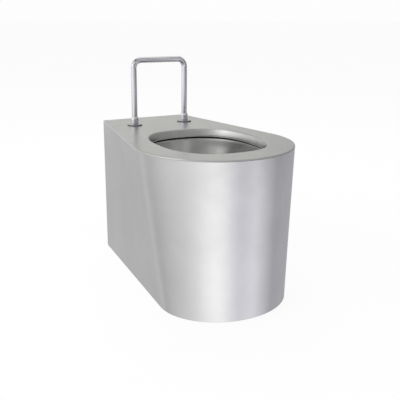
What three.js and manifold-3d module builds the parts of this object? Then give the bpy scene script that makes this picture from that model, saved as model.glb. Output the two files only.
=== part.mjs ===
// A floor-standing ward pan in stainless steel: a tapered sheet casing under a flat deck with an oval
// opening, a pressed bowl with its flushing channel and trap inside the casing, and an upright tube rail
// bolted to the deck behind the opening.
// Millimetres, +Z up. The front faces -Y, the back meets the wall at +Y; the origin is on the floor, midway.
import * as THREE from "three";
import { mergeVertices } from "three/addons/utils/BufferGeometryUtils.js";
import Module from "manifold-3d";

// ---- Driving dimensions ------------------------------------------------------------------------------
const DEPTH = 634; // from the wall to the front
const RIM_HEIGHT = 400; // from the floor to the deck's upper face
const BACK = DEPTH / 2; // Y of the wall plane
const SHEET = 2; // casing, collar and bowl sheet
const PLATE = 3; // deck and frames
const GAP = 0.3; // between pieces that touch

// The casing's plan at deck level and at the floor: straight sides that flare from the back, and an
// elliptical nose.
const TOP_PLAN = { backHalf: 133.5, frontHalf: 206.5, noseLength: 202 };
const FLOOR_PLAN = { backHalf: 133.5, frontHalf: 172.5, noseLength: 147.5 };

// The opening in the deck, a superellipse.
const OPENING = { halfWidth: 140, halfLength: 165.5, exponent: 2.45, y: BACK - 398.5 };
const COLLAR_DEPTH = 21;
const COLLAR_LEAN = 3;

// The flushing channel round the collar, and the bowl that closes it from below.
const CHANNEL_OFFSET = 33; // from the opening's edge out to the channel wall
const CHANNEL_FLOOR = 350; // Z of the bowl's flange
const BOWL_FLANGE_OFFSET = 41;
const LIP_CREST = 372; // Z of the bowl's top edge, just under the collar
const channelBack = OPENING.y + OPENING.halfLength + CHANNEL_OFFSET;

// The rail.
const RAIL = { spacing: 160, y: BACK - 115, height: 183, radius: 8, wall: 1.5, bend: 22 };
const ROSE_RADIUS = 21.5;
const ROSE_THICKNESS = 2;
const GASKET_THICKNESS = 1;
const SOCKET = { radius: 10.8, height: 20, depth: 17 };
const STUD_RADIUS = 5;
const STUD_HOLE_RADIUS = 5.5;

// Waste and flush pipework.
const TRAP = { radius: 45, wall: 2, bend: 62, inletY: OPENING.y + 32, inletZ: 120 };
const OUTLET = { weirZ: 212, z: 180, fall: 100 };
const FLUSH = { radius: 19, wall: 1.5, z: 373 };

const deckUnderside = RIM_HEIGHT - PLATE;
const superellipseSides = 56;
const noseSides = 40;
const flankSides = 8;

// ---- Materials ---------------------------------------------------------------------------------------
const steel = (color, roughness) => new THREE.MeshStandardMaterial({ color, roughness, metalness: 1 });
const brushedSteel = steel(0xb8b8ba, 0.36);
const deckSteel = steel(0xb4b4b0, 0.42);
const bowlSteel = steel(0xa2a2a0, 0.32);
const polishedSteel = steel(0xc4c4ca, 0.2);
const frameSteel = steel(0x9c9c9c, 0.5);
const zincSteel = steel(0xa8aaa4, 0.45);
const rubber = new THREE.MeshStandardMaterial({ color: 0x202022, roughness: 0.85, metalness: 0 });

// ---- Solids ------------------------------------------------------------------------------------------
const wasm = await Module();
wasm.setup();

// A triangle list as a geometry whose faces point outwards.
function closedGeometry(points, triangles) {
  let volume = 0;
  for (const [a, b, c] of triangles) {
    volume += points[a].dot(new THREE.Vector3().crossVectors(points[b], points[c]));
  }
  const order = volume < 0 ? triangles.map(([a, b, c]) => [a, c, b]) : triangles;
  return new THREE.BufferGeometry().setFromPoints(points).setIndex(order.flat());
}

// Two rows of points with the same count, joined by a band of triangles; the rows close on themselves.
function band(triangles, first, second, count) {
  for (let i = 0; i < count; i++) {
    const next = (i + 1) % count;
    triangles.push([first + i, first + next, second + next], [first + i, second + next, second + i]);
  }
}

// A solid through four-cornered sections, closed at both ends.
function loft(sections) {
  const triangles = [];
  const last = (sections.length - 1) * 4;
  for (let first = 0; first < last; first += 4) band(triangles, first, first + 4, 4);
  triangles.push([2, 1, 0], [3, 2, 0], [last, last + 1, last + 2], [last, last + 2, last + 3]);
  return closedGeometry(sections.flat(), triangles);
}

// A thin-walled solid between outer rings and inner rings, open at both ends.
function shell(outerRings, innerRings) {
  const count = outerRings[0].length;
  const loop = [...outerRings, ...innerRings.toReversed()];
  const triangles = [];
  loop.forEach((_, r) => band(triangles, r * count, ((r + 1) % loop.length) * count, count));
  return closedGeometry(loop.flat(), triangles);
}

function toSolid(geometry) {
  const bare = geometry.clone();
  bare.deleteAttribute("normal");
  bare.deleteAttribute("uv");
  const merged = mergeVertices(bare, 1e-3);
  const vertProperties = new Float32Array(merged.attributes.position.array);
  const triVerts = new Uint32Array(merged.index.array);
  return new wasm.Manifold(new wasm.Mesh({ numProp: 3, vertProperties, triVerts }));
}

function toGeometry(solid) {
  const { vertProperties, triVerts } = solid.getMesh();
  const position = new THREE.BufferAttribute(new Float32Array(vertProperties), 3);
  return new THREE.BufferGeometry().setAttribute("position", position).setIndex([...triVerts]);
}

const cut = (geometry, tool) => toGeometry(toSolid(geometry).subtract(toSolid(tool)));
const join = (geometry, other) => toGeometry(toSolid(geometry).add(toSolid(other)));

// A round bar along Z, from low to high.
const bar = (radius, low, high, sides = 24) =>
  new THREE.CylinderGeometry(radius, radius, high - low, sides)
    .rotateX(Math.PI / 2)
    .translate(0, 0, (low + high) / 2);

// A flat plate of the shape, from low to high.
function plate(shape, low, high, curveSegments = 12) {
  const options = { depth: high - low, bevelEnabled: false, curveSegments };
  return new THREE.ExtrudeGeometry(shape, options).translate(0, 0, low);
}

const circlePath = (x, y, radius) => new THREE.Path().absarc(x, y, radius, 0, 2 * Math.PI, false);

function rectangle(left, low, right, high) {
  const corners = [[left, low], [right, low], [right, high], [left, high]];
  return new THREE.Shape(corners.map(([x, y]) => new THREE.Vector2(x, y)));
}

function hexagon(acrossFlats) {
  const radius = acrossFlats / Math.sqrt(3);
  const corners = Array.from({ length: 6 }, (_, i) => {
    const angle = (i * Math.PI) / 3;
    return new THREE.Vector2(radius * Math.cos(angle), radius * Math.sin(angle));
  });
  return new THREE.Shape(corners);
}

function washer(outer, inner, low, high) {
  const shape = new THREE.Shape().absarc(0, 0, outer, 0, 2 * Math.PI, false);
  shape.holes.push(circlePath(0, 0, inner));
  return plate(shape, low, high);
}

function nut(acrossFlats, bore, low, high) {
  const shape = hexagon(acrossFlats);
  shape.holes.push(circlePath(0, 0, bore));
  return plate(shape, low, high, 8);
}

// ---- Plan curves -------------------------------------------------------------------------------------

// The casing's plan from the right back corner round the nose to the left back corner.
function plan({ backHalf, frontHalf, noseLength }) {
  const noseY = -BACK + noseLength;
  const across = backHalf / frontHalf;
  const along = (BACK - noseY) / noseLength;
  const tangentAngle = Math.atan2(along, across) - Math.acos(1 / Math.hypot(across, along));
  const sweep = -Math.PI - 2 * tangentAngle;
  const nose = Array.from({ length: noseSides + 1 }, (_, i) => {
    const angle = tangentAngle + (sweep * i) / noseSides;
    return new THREE.Vector2(frontHalf * Math.cos(angle), noseY + noseLength * Math.sin(angle));
  });
  const flank = (from, to) =>
    Array.from({ length: flankSides }, (_, i) => from.clone().lerp(to, i / flankSides));
  const right = new THREE.Vector2(backHalf, BACK);
  const left = new THREE.Vector2(-backHalf, BACK);
  return [...flank(right, nose[0]), ...nose, ...flank(left, nose.at(-1)).reverse()];
}

// The same curve moved inwards; its ends stay on the wall plane.
function inset(curve, distance) {
  return curve.map((point, i) => {
    const before = curve[Math.max(i - 1, 0)];
    const after = curve[Math.min(i + 1, curve.length - 1)];
    const along = after.clone().sub(before).normalize();
    const inwards = new THREE.Vector2(along.y, -along.x);
    const atEnd = i === 0 || i === curve.length - 1;
    return atEnd
      ? new THREE.Vector2(point.x + distance / inwards.x, point.y)
      : point.clone().addScaledVector(inwards, distance);
  });
}

const topCurve = plan(TOP_PLAN);
const floorCurve = plan(FLOOR_PLAN);

// The casing's plan at a height: each ruling is a straight line from the floor curve to the top curve.
const curveAt = (z) => floorCurve.map((point, i) => point.clone().lerp(topCurve[i], z / RIM_HEIGHT));

// The casing's sheet, from the floor to the given height: a section at each ruling, from corner to corner.
function casingWall(top) {
  const edges = [
    [curveAt(0), 0],
    [curveAt(top), top],
    [inset(curveAt(top), SHEET), top],
    [inset(curveAt(0), SHEET), 0],
  ];
  const section = (_, i) => edges.map(([curve, z]) => new THREE.Vector3(curve[i].x, curve[i].y, z));
  return loft(topCurve.map(section));
}

function superellipse({ halfWidth, halfLength, exponent, y }, z) {
  const power = (value) => Math.sign(value) * Math.abs(value) ** (2 / exponent);
  return Array.from({ length: superellipseSides }, (_, i) => {
    const angle = (2 * Math.PI * i) / superellipseSides;
    return new THREE.Vector3(halfWidth * power(Math.cos(angle)), y + halfLength * power(Math.sin(angle)), z);
  });
}

function grown(oval, distance) {
  const { halfWidth, halfLength } = oval;
  return { ...oval, halfWidth: halfWidth + distance, halfLength: halfLength + distance };
}

const flatten = (ring) => ring.map((p) => new THREE.Vector2(p.x, p.y));

// A vertical oval wall round the opening.
function ovalWall(offset, thickness, low, high) {
  const outer = [low, high].map((z) => superellipse(grown(OPENING, offset), z));
  const inner = [low, high].map((z) => superellipse(grown(OPENING, offset - thickness), z));
  return shell(outer, inner);
}

// ---- Tubes -------------------------------------------------------------------------------------------

// A tube along a plane path. toSpace places the path's plane; normal is the direction across that plane.
function tube(path, toSpace, normal, outerRadius, innerRadius, sides, arcSteps) {
  const stations = path.curves.flatMap((curve, i) => {
    const steps = curve.isLineCurve ? 1 : arcSteps;
    const first = i === 0 ? 0 : 1;
    return Array.from({ length: steps + 1 - first }, (_, s) => {
      const t = (s + first) / steps;
      return { point: curve.getPoint(t), tangent: curve.getTangent(t) };
    });
  });
  const origin = toSpace(0, 0);
  const ringsOf = (radius) =>
    stations.map(({ point, tangent }) => {
      const centre = toSpace(point.x, point.y);
      const ahead = toSpace(tangent.x, tangent.y).sub(origin);
      const across = new THREE.Vector3().crossVectors(ahead, normal);
      return Array.from({ length: sides }, (_, i) => {
        const angle = (2 * Math.PI * i) / sides;
        return centre
          .clone()
          .addScaledVector(normal, radius * Math.cos(angle))
          .addScaledVector(across, radius * Math.sin(angle));
      });
    });
  return shell(ringsOf(outerRadius), ringsOf(innerRadius));
}

// A straight tube along Y.
function pipeAlongY(outerRadius, innerRadius, fromY, toY, z, sides = 24) {
  const path = new THREE.Path().moveTo(fromY, z).lineTo(toY, z);
  const toSpace = (u, v) => new THREE.Vector3(0, u, v);
  return tube(path, toSpace, new THREE.Vector3(1, 0, 0), outerRadius, innerRadius, sides, 1);
}

// ---- Assembly ----------------------------------------------------------------------------------------
const pan = new THREE.Group();

function add(name, geometry, material, x = 0, y = 0, z = 0) {
  const mesh = new THREE.Mesh(geometry, material);
  mesh.name = name;
  mesh.position.set(x, y, z);
  pan.add(mesh);
}

// Each side of the rail, or of the casing, with its name and sign.
const sides = [
  ["left", -1],
  ["right", 1],
];

// Casing and deck.
function addCasing() {
  add("casing_skirt", casingWall(deckUnderside - GAP), brushedSteel);

  const deck = new THREE.Shape(topCurve);
  deck.holes.push(new THREE.Path(flatten(superellipse(OPENING, 0))));
  for (const [, sign] of sides) {
    deck.holes.push(circlePath((sign * RAIL.spacing) / 2, RAIL.y, STUD_HOLE_RADIUS));
  }
  add("deck_plate", plate(deck, deckUnderside, RIM_HEIGHT), deckSteel);
}

// Back frame and foot frame, welded inside the casing.
const FRAME_WIDTH = 30;
const FIXING_HOLE_RADIUS = 5.5;
const WALL_HOLES = { x: 112, heights: [90, 300] };
const FLOOR_SCREWS = [
  { name: "rear", x: 121, y: 230 },
  { name: "front", x: 152, y: -150 },
];

function addFrames() {
  const halfWidth = FLOOR_PLAN.backHalf - SHEET - 2 * GAP;
  const back = rectangle(-halfWidth, PLATE + GAP, halfWidth, deckUnderside - GAP);
  back.holes.push(rectangle(-95, 50, 95, 342));
  back.holes.push(circlePath(0, FLUSH.z, FLUSH.radius + GAP));
  for (const [, sign] of sides) {
    for (const height of WALL_HOLES.heights) {
      back.holes.push(circlePath(sign * WALL_HOLES.x, height, FIXING_HOLE_RADIUS));
    }
  }
  const backFrame = plate(back, 0, PLATE).rotateX(Math.PI / 2).translate(0, BACK, 0);
  add("back_frame", backFrame, frameSteel);

  const outer = inset(floorCurve, SHEET + GAP);
  const inner = inset(outer, FRAME_WIDTH);
  const foot = new THREE.Shape([...outer, ...inner.toReversed()]);
  for (const [, sign] of sides) {
    for (const { x, y } of FLOOR_SCREWS) foot.holes.push(circlePath(sign * x, y, FIXING_HOLE_RADIUS));
  }
  add("foot_frame", plate(foot, 0, PLATE), frameSteel);

  // The bar across the back is welded between the foot frame's two legs, which spread towards the front.
  const [atWall, further] = inner;
  const spread = (further.x - atWall.x) / (atWall.y - further.y);
  const wallHalf = atWall.x - GAP;
  const innerHalf = wallHalf + spread * FRAME_WIDTH;
  const rearBar = new THREE.Shape([
    new THREE.Vector2(wallHalf, BACK),
    new THREE.Vector2(-wallHalf, BACK),
    new THREE.Vector2(-innerHalf, BACK - FRAME_WIDTH),
    new THREE.Vector2(innerHalf, BACK - FRAME_WIDTH),
  ]);
  add("foot_rear_bar", plate(rearBar, 0, PLATE), frameSteel);
}

// The channel's floor and the lip that the water spills over: distance outside the opening's edge, and Z.
// Upper is the wet side, from the flange's rim to the lip's crest; lower is the underside of the same sheet.
const GUTTER_UPPER = [
  [BOWL_FLANGE_OFFSET, CHANNEL_FLOOR],
  [9, CHANNEL_FLOOR],
  [9, 370.3],
  [7.7, LIP_CREST],
  [4.3, LIP_CREST],
  [3, 370.3],
];
const GUTTER_LOWER = [
  [BOWL_FLANGE_OFFSET, CHANNEL_FLOOR - SHEET],
  [7, CHANNEL_FLOOR - SHEET],
  [7, 369.5],
];

// The bowl's inner surface from the lip down to the throat, and the throat's on down to the trap.
const BOWL_STATIONS = [
  { z: 369.5, halfWidth: 143, halfLength: 168.5, shift: 0, exponent: 2.45 },
  { z: 350, halfWidth: 140, halfLength: 165.5, shift: 0, exponent: 2.45 },
  { z: 325, halfWidth: 135, halfLength: 159.5, shift: 1, exponent: 2.4 },
  { z: 295, halfWidth: 127, halfLength: 149, shift: 4, exponent: 2.35 },
  { z: 260, halfWidth: 115, halfLength: 132, shift: 9, exponent: 2.3 },
  { z: 220, halfWidth: 96, halfLength: 108, shift: 15, exponent: 2.2 },
];
const THROAT_STATIONS = [
  { z: 219.7, halfWidth: 96, halfLength: 108, shift: 15, exponent: 2.2 },
  { z: 190, halfWidth: 76, halfLength: 84, shift: 22, exponent: 2.1 },
  { z: 160, halfWidth: 56, halfLength: 59, shift: 29, exponent: 2 },
  { z: 140, halfWidth: 46, halfLength: 47, shift: 32, exponent: 2 },
  { z: 120, halfWidth: 43, halfLength: 43, shift: 32, exponent: 2 },
];

function pressedRings(stations) {
  const rings = { inner: [], outer: [] };
  for (const station of stations) {
    const oval = { ...station, y: OPENING.y + station.shift };
    rings.inner.push(superellipse(oval, station.z));
    rings.outer.push(superellipse(grown(oval, SHEET), station.z));
  }
  return rings;
}

// Collar, flushing channel, bowl and throat.
function addBowl() {
  // The collar leans in towards its lower edge, as a dished rim does.
  const ringsAt = (section) => section.map(([offset, z]) => superellipse(grown(OPENING, offset), z));
  const collarFace = (offset) =>
    ringsAt([
      [offset, RIM_HEIGHT],
      [offset - COLLAR_LEAN, RIM_HEIGHT - COLLAR_DEPTH],
    ]);
  add("rim_collar", shell(collarFace(-GAP), collarFace(-GAP - SHEET)), deckSteel);

  const channel = ovalWall(CHANNEL_OFFSET, SHEET, CHANNEL_FLOOR + GAP, deckUnderside - GAP);
  const inletHole = bar(FLUSH.radius - FLUSH.wall, -20, 20).rotateX(Math.PI / 2);
  add("channel_wall", cut(channel, inletHole.translate(0, channelBack, FLUSH.z)), bowlSteel);

  const bowl = pressedRings(BOWL_STATIONS);
  bowl.inner.unshift(...ringsAt(GUTTER_UPPER));
  bowl.outer.unshift(...ringsAt(GUTTER_LOWER));
  add("bowl", shell(bowl.outer, bowl.inner), bowlSteel);

  const throat = pressedRings(THROAT_STATIONS);
  add("bowl_throat", shell(throat.outer, throat.inner), bowlSteel);
}

// The plan of the bent strip that splits the flow to both sides of the channel.
const DEFLECTOR = [
  [-30, -9],
  [0, 7],
  [30, -9],
  [30, -7],
  [0, 9],
  [-30, -7],
];

// Flush inlet at the back of the channel, and its deflector.
function addFlush() {
  const innerRadius = FLUSH.radius - FLUSH.wall;
  const pipe = pipeAlongY(FLUSH.radius, innerRadius, channelBack + GAP, BACK, FLUSH.z);
  add("flush_inlet_pipe", pipe, frameSteel);
  const seal = pipeAlongY(innerRadius - GAP, 13, BACK - 26, BACK - 2, FLUSH.z);
  add("flush_inlet_seal", seal, rubber);

  const outline = new THREE.Shape(DEFLECTOR.map(([x, y]) => new THREE.Vector2(x, y)));
  const deflector = plate(outline, CHANNEL_FLOOR + GAP, deckUnderside - GAP);
  add("flush_deflector", deflector, bowlSteel, 0, channelBack - 14.5);
}

// The seal's lips: distance out from the pipe, distance along it.
const OUTLET_LIPS = [
  [0.3, 0],
  [4, 0],
  [5, 3],
  [2.5, 6],
  [5, 9],
  [2.5, 12],
  [5, 15],
  [4, 18],
  [0.3, 18],
];

// The trap's two bends and the outlet pipe, the outlet's seal, and the saddle and crossbar under the trap.
function addTrap() {
  const { radius, wall, bend, inletY, inletZ } = TRAP;
  const { weirZ } = OUTLET;
  const start = inletZ - GAP;
  const riserY = inletY + 2 * bend + GAP;
  const weirY = riserY + bend;
  const levelY = weirY + OUTLET.fall;
  const toSpace = (u, v) => new THREE.Vector3(0, u, v);
  const normal = new THREE.Vector3(1, 0, 0);
  const addPipe = (name, path) =>
    add(name, tube(path, toSpace, normal, radius, radius - wall, 20, 8), frameSteel);

  const quarterBend = (centreY, from) =>
    new THREE.Path().absarc(centreY, start, bend, from, from + Math.PI / 2, false);
  addPipe("trap_inlet_bend", quarterBend(inletY + bend, Math.PI));
  addPipe("trap_rising_bend", quarterBend(riserY - bend, 1.5 * Math.PI));
  const upper = new THREE.Path()
    .moveTo(riserY, start + GAP)
    .lineTo(riserY, weirZ - bend)
    .absarc(weirY, weirZ - bend, bend, Math.PI, Math.PI / 2, true);
  addPipe("trap_upper_bend", upper);
  const outlet = new THREE.Path()
    .moveTo(weirY + GAP, weirZ)
    .bezierCurveTo(weirY + 50, weirZ, levelY - 50, OUTLET.z, levelY, OUTLET.z)
    .lineTo(BACK - 4, OUTLET.z);
  addPipe("outlet_pipe", outlet);

  const lips = OUTLET_LIPS.map(([out, along]) => new THREE.Vector2(radius + out, along));
  const seal = new THREE.LatheGeometry([...lips, lips[0]], 20);
  add("outlet_seal", seal, rubber, 0, BACK - 40, OUTLET.z);

  const lowestY = inletY + bend;
  const barTop = 2 * PLATE + GAP;
  const crossbar = plate(rectangle(-148, -25, 148, 25), PLATE + GAP, barTop);
  add("saddle_crossbar", crossbar, frameSteel, 0, lowestY);
  const block = plate(rectangle(-52, -10, 52, 10), barTop + GAP, 42);
  const seat = bar(radius + 2 * GAP, -20, 20, 32).rotateX(Math.PI / 2);
  add("trap_saddle", cut(block, seat.translate(0, 0, start - bend)), frameSteel, 0, lowestY);
}

// Rail, its feet on the deck and their fixings under it.
function addHoop(socketFloor) {
  const { bend, radius, wall } = RAIL;
  const half = RAIL.spacing / 2;
  const top = RIM_HEIGHT + RAIL.height;
  const path = new THREE.Path()
    .moveTo(-half, socketFloor + GAP)
    .lineTo(-half, top - bend)
    .absarc(-half + bend, top - bend, bend, Math.PI, Math.PI / 2, true)
    .lineTo(half - bend, top)
    .absarc(half - bend, top - bend, bend, Math.PI / 2, 0, true)
    .lineTo(half, socketFloor + GAP);
  const toSpace = (u, v) => new THREE.Vector3(u, RAIL.y, v);
  const normal = new THREE.Vector3(0, 1, 0);
  add("rail_hoop", tube(path, toSpace, normal, radius, radius - wall, 20, 8), polishedSteel);
}

// A turned piece about Z, from its profile of radii and heights.
function turned(profile) {
  const points = profile.map(([radius, z]) => new THREE.Vector2(radius, z));
  return new THREE.LatheGeometry(points, 28).rotateX(Math.PI / 2);
}

function addRail() {
  const gasketLow = RIM_HEIGHT + GAP;
  const roseLow = gasketLow + GASKET_THICKNESS + GAP;
  const socketLow = roseLow + ROSE_THICKNESS + GAP;
  const padTop = deckUnderside - GAP;
  const padLow = padTop - 4;
  const washerTop = padLow - GAP;
  const nutTop = washerTop - 1.6 - GAP;

  addHoop(socketLow + SOCKET.height - SOCKET.depth);

  const pad = rectangle(-112, -30, 112, 30);
  for (const [, sign] of sides) {
    pad.holes.push(circlePath((sign * RAIL.spacing) / 2, 0, STUD_HOLE_RADIUS));
  }
  add("rail_backing_plate", plate(pad, padLow, padTop), frameSteel, 0, RAIL.y);

  const gasket = washer(ROSE_RADIUS - 1, STUD_HOLE_RADIUS, gasketLow, gasketLow + GASKET_THICKNESS);
  const rose = turned([
    [0, 0],
    [ROSE_RADIUS, 0],
    [ROSE_RADIUS, 1.2],
    [ROSE_RADIUS - 1.2, ROSE_THICKNESS],
    [0, ROSE_THICKNESS],
  ]);
  const { radius, height, depth } = SOCKET;
  const bore = RAIL.radius + GAP;
  const cup = turned([
    [0, 0],
    [radius, 0],
    [radius, height - 4],
    [radius - 1.5, height],
    [bore, height],
    [bore, height - depth],
    [0, height - depth],
  ]);
  const screwZ = height - depth / 2;
  const screwY = (bore + radius) / 2;
  const screwHole = bar(1.8, -3, 3, 16).rotateX(Math.PI / 2).translate(0, screwY, screwZ);
  const socket = cut(cup, screwHole);
  const grubScrew = bar(1.5, -1, 1, 12).rotateX(Math.PI / 2);
  const stud = bar(STUD_RADIUS, nutTop - 16, gasketLow + GASKET_THICKNESS);
  const studWasher = washer(10.5, STUD_RADIUS + GAP, washerTop - 1.6, washerTop);
  const studNut = nut(17, STUD_RADIUS + GAP, nutTop - 8.4, nutTop);
  for (const [side, sign] of sides) {
    const x = (sign * RAIL.spacing) / 2;
    add(`rail_gasket_${side}`, gasket, rubber, x, RAIL.y);
    add(`rail_rose_${side}`, rose, polishedSteel, x, RAIL.y, roseLow);
    add(`rail_socket_${side}`, socket, polishedSteel, x, RAIL.y, socketLow);
    add(`rail_grub_screw_${side}`, grubScrew, zincSteel, x, RAIL.y + screwY, socketLow + screwZ);
    add(`rail_stud_${side}`, stud, zincSteel, x, RAIL.y);
    add(`rail_washer_${side}`, studWasher, zincSteel, x, RAIL.y);
    add(`rail_nut_${side}`, studNut, zincSteel, x, RAIL.y);
  }
}

// Floor screws with their washers.
function addFloorFixings() {
  const washerLow = PLATE + GAP;
  const headLow = washerLow + 1.6 + GAP;
  const screw = join(plate(hexagon(13), headLow, headLow + 5.3), bar(4, GAP, headLow + 1));
  const flatWasher = washer(9, 4.5, washerLow, washerLow + 1.6);
  for (const { name, x, y } of FLOOR_SCREWS) {
    for (const [side, sign] of sides) {
      add(`floor_washer_${name}_${side}`, flatWasher, zincSteel, sign * x, y);
      add(`floor_screw_${name}_${side}`, screw, zincSteel, sign * x, y);
    }
  }
}

// Earth bonding tag on the foot frame.
function addEarthTag() {
  const tagLow = PLATE + GAP;
  const tagTop = tagLow + 1.5;
  const tag = rectangle(-8, -26, 8, 9);
  tag.holes.push(circlePath(0, 0, 3.4), circlePath(0, -18, 2.5));
  const [x, y] = [-60, BACK - 16];
  add("earth_stud", bar(3, tagLow, 20, 16), zincSteel, x, y);
  add("earth_tag", plate(tag, tagLow, tagTop), zincSteel, x, y);
  add("earth_nut", nut(10, 3.3, tagTop + GAP, tagTop + 5.3), zincSteel, x, y);
}

addCasing();
addFrames();
addBowl();
addFlush();
addTrap();
addRail();
addFloorFixings();
addEarthTag();

export default pan;
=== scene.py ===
# Looks of the stainless-steel ward pan: smooth brushed sheet, polished rail, pipework, rubber, a pale floor
# and soft studio light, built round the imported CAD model. Metres, in the row's frame.
import math

import bpy
import numpy as np
from mathutils import Matrix, Vector


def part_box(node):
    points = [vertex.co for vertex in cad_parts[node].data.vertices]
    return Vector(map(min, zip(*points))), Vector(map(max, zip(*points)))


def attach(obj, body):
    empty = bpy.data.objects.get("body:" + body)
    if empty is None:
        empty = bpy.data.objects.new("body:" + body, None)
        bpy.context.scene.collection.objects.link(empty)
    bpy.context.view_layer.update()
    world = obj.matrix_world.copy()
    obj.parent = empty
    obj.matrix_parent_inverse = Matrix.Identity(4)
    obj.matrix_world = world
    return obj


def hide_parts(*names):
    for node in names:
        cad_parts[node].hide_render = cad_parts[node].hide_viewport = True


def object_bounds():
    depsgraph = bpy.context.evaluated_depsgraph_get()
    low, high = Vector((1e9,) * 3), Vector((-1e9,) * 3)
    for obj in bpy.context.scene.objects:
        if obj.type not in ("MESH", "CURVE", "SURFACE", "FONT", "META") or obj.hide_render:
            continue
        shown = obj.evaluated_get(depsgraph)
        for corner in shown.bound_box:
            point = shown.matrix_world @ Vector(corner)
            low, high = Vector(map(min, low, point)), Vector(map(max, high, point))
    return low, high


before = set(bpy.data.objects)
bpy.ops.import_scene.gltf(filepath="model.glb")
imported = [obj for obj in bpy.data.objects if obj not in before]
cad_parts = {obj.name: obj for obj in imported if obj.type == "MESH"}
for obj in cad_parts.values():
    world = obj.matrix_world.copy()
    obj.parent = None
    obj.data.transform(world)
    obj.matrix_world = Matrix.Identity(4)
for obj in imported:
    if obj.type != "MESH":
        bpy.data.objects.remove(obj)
cad_low, cad_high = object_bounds()

# ---- Dimensions, as in the CAD ---------------------------------------------------------------------------
BACK = cad_high.y
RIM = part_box("deck_plate")[1].z
DECK_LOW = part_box("deck_plate")[0].z
SKIRT_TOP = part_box("casing_skirt")[1].z
SHEET = 0.002
GAP = 0.0003
# The casing's plan: half width at the wall, greatest half width, and length of the rounded nose.
TOP_PLAN = (0.1335, 0.2065, 0.202)
FLOOR_PLAN = (0.1335, 0.1725, 0.1475)
COLLAR_LOW, COLLAR_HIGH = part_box("rim_collar")
OPEN_Y = (COLLAR_LOW.y + COLLAR_HIGH.y) / 2
# The deck's opening: half width, half length, and the exponent of its oval.
OPENING = (0.140, 0.1655, 2.45)
# How far outside the opening's edge the flushing channel and the bowl's flange end.
CHANNEL_OFFSET = 0.033
FLANGE_OFFSET = 0.041
FLANGE_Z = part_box("channel_wall")[0].z - GAP
LIP_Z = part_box("bowl")[1].z
JOIN_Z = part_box("bowl")[0].z
# How far behind the opening's middle the throat stands.
THROAT_SHIFT = 0.032
SIDES = ("left", "right")

# ---- Dimensions that are finer here than in the CAD ------------------------------------------------------
# The collar leans in by this much; in the CAD it leans 3 mm and has no bead.
COLLAR_LEAN = 0.0045
COLLAR_BEAD = 0.0014
# The chamfer on the casing's top edge and on the deck above it, which together make a groove.
SEAM = 0.0009


# ---- Mesh building ---------------------------------------------------------------------------------------
def facing(points, faces):
    """Positive when the faces of a closed mesh point out, negative when they point in."""
    volume = 0.0
    for face in faces:
        a = points[face[0]]
        for b, c in zip(face[1:-1], face[2:]):
            volume += float(np.dot(a, np.cross(points[b], points[c])))
    return volume


def build(name, grid, wrap_i=False, caps=False, uv=None, sharp=38):
    """A mesh through a grid of points that closes on itself along the second axis, and with wrap_i along
    the first too. Its UVs are in metres, x along the first axis and y along the second, unless uv makes
    them from the points. An edge that turns by more than sharp degrees stays sharp."""
    grid = np.asarray(grid, float)
    rows, cols = grid.shape[:2]
    step_i = np.linalg.norm(np.roll(grid, -1, 0) - grid, axis=2).mean(1)
    step_j = np.linalg.norm(np.roll(grid, -1, 1) - grid, axis=2).mean(0)
    along_i = np.concatenate([[0], np.cumsum(step_i)])
    along_j = np.concatenate([[0], np.cumsum(step_j)])
    faces, corners = [], []
    for i in range(rows if wrap_i else rows - 1):
        for j in range(cols):
            quad = [(i, j), (i + 1, j), (i + 1, j + 1), (i, j + 1)]
            faces.append([(a % rows) * cols + b % cols for a, b in quad])
            corners.append([(along_i[a], along_j[b]) for a, b in quad])
    points = grid.reshape(-1, 3)
    if caps:
        for row in (0, rows - 1):
            ring = [row * cols + j for j in range(cols)]
            faces.append(ring if row == 0 else ring[::-1])
            corners.append([tuple(points[k][:2]) for k in faces[-1]])
    if facing(points, faces) < 0:
        faces = [face[::-1] for face in faces]
        corners = [corner[::-1] for corner in corners]
    mesh = bpy.data.meshes.new(name)
    mesh.from_pydata(points.tolist(), [], faces)
    layer = mesh.uv_layers.new(name="grain")
    if uv is None:
        flat = [value for corner in corners for pair in corner for value in pair]
    else:
        flat = uv(points[[k for face in faces for k in face]]).ravel()
    layer.data.foreach_set("uv", np.asarray(flat, np.float32))
    mesh.shade_smooth()
    mesh.set_sharp_from_angle(angle=math.radians(sharp))
    mesh.validate()
    piece = bpy.data.objects.new(name, mesh)
    bpy.context.scene.collection.objects.link(piece)
    return piece


def finish_piece(piece, material, slot, *nodes):
    """The piece takes its material, rides on the part and stands for its CAD nodes."""
    piece.data.materials.clear()
    piece.data.materials.append(material)
    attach(piece, "root")
    if nodes:
        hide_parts(*nodes)


# ---- Plan curves -----------------------------------------------------------------------------------------
FLANK_STEPS = 24
NOSE_STEPS = 168
OVAL_SIDES = 192
EVEN_TURN = np.linspace(0, 2 * math.pi, OVAL_SIDES, endpoint=False)


def plan(back_half, front_half, nose):
    """The casing's plan from the right back corner round the nose to the left back corner."""
    nose_y = -BACK + nose
    across = back_half / front_half
    along = (BACK - nose_y) / nose
    tangent = math.atan2(along, across) - math.acos(1 / math.hypot(across, along))
    angle = tangent + (-math.pi - 2 * tangent) * np.linspace(0, 1, NOSE_STEPS + 1)
    curve = np.stack([front_half * np.cos(angle), nose_y + nose * np.sin(angle)], 1)
    t = np.linspace(0, 1, FLANK_STEPS, endpoint=False)[:, None]
    right = np.array([back_half, BACK]) * (1 - t) + curve[0] * t
    left = right[::-1] * [-1, 1]
    return np.concatenate([right, curve, left])


def inset_open(curve, distance):
    """The curve moved inwards, its ends kept on the wall plane."""
    tangent = np.gradient(curve, axis=0)
    tangent /= np.linalg.norm(tangent, axis=1)[:, None]
    inwards = np.stack([tangent[:, 1], -tangent[:, 0]], 1)
    moved = curve + inwards * distance
    for k in (0, -1):
        moved[k] = [curve[k][0] + distance / inwards[k][0], curve[k][1]]
    return moved


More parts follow.
